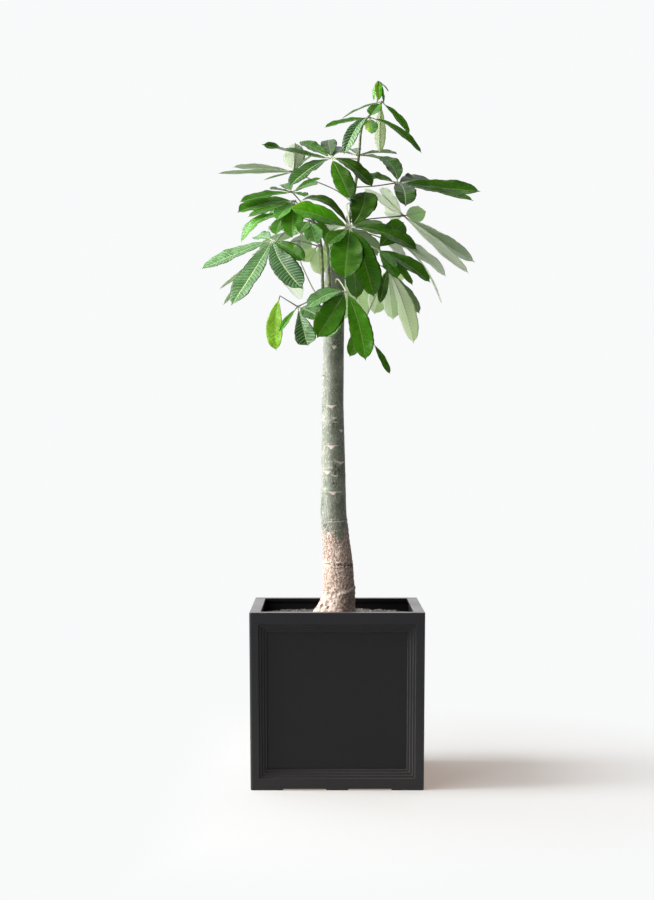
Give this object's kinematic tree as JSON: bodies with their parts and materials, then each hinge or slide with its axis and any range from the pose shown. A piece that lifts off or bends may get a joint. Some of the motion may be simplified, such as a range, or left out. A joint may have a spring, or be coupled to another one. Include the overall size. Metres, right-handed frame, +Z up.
{
  "type": "potted money tree",
  "caption": "Potted money tree: a bare trunk in a square panelled planter of soil, topped by thin shoots with palm-shaped fronds of drooping leaflets.",
  "frame": {"origin": "middle of the planter's underside, on the floor", "axes": "+Z up along the trunk, -Y towards the viewer of the picture, +X to the viewer's right"},
  "size_m": [0.5395, 0.4913, 1.3619],
  "materials": {
    "planter": "matte charcoal, moulded panels",
    "soil": "rough, dry, grainy",
    "bark": "satin, grey-green above and wrinkled tan below, with leaf scars",
    "shoot": "satin green-brown",
    "leaf": "satin, thin and see-through to light"
  },
  "bodies": {
    "root": {"planter": "planter", "soil": "soil", "trunk": "bark", "shoot_leader": "shoot", "shoot_left_outer": "shoot", "shoot_left_inner": "shoot", "frond_upper_left": "leaf", "frond_far_left": "leaf", "frond_right": "leaf", "frond_right_pale": "leaf", "frond_front": "leaf", "frond_left": "leaf", "frond_left_behind": "leaf", "frond_left_young": "leaf", "frond_left_middle": "leaf", "frond_left_lower": "leaf", "frond_inner_left": "leaf", "frond_lower_left": "leaf", "frond_lower_front": "leaf", "frond_right_middle": "leaf", "frond_right_trailing": "leaf", "frond_lower_right": "leaf", "frond_top": "leaf", "frond_tip": "leaf", "frond_bud": "leaf", "frond_upper_back": "leaf", "frond_inner_back": "leaf", "frond_back": "leaf", "frond_lower_back": "leaf", "frond_left_back": "leaf"}
  },
  "joints": []
}
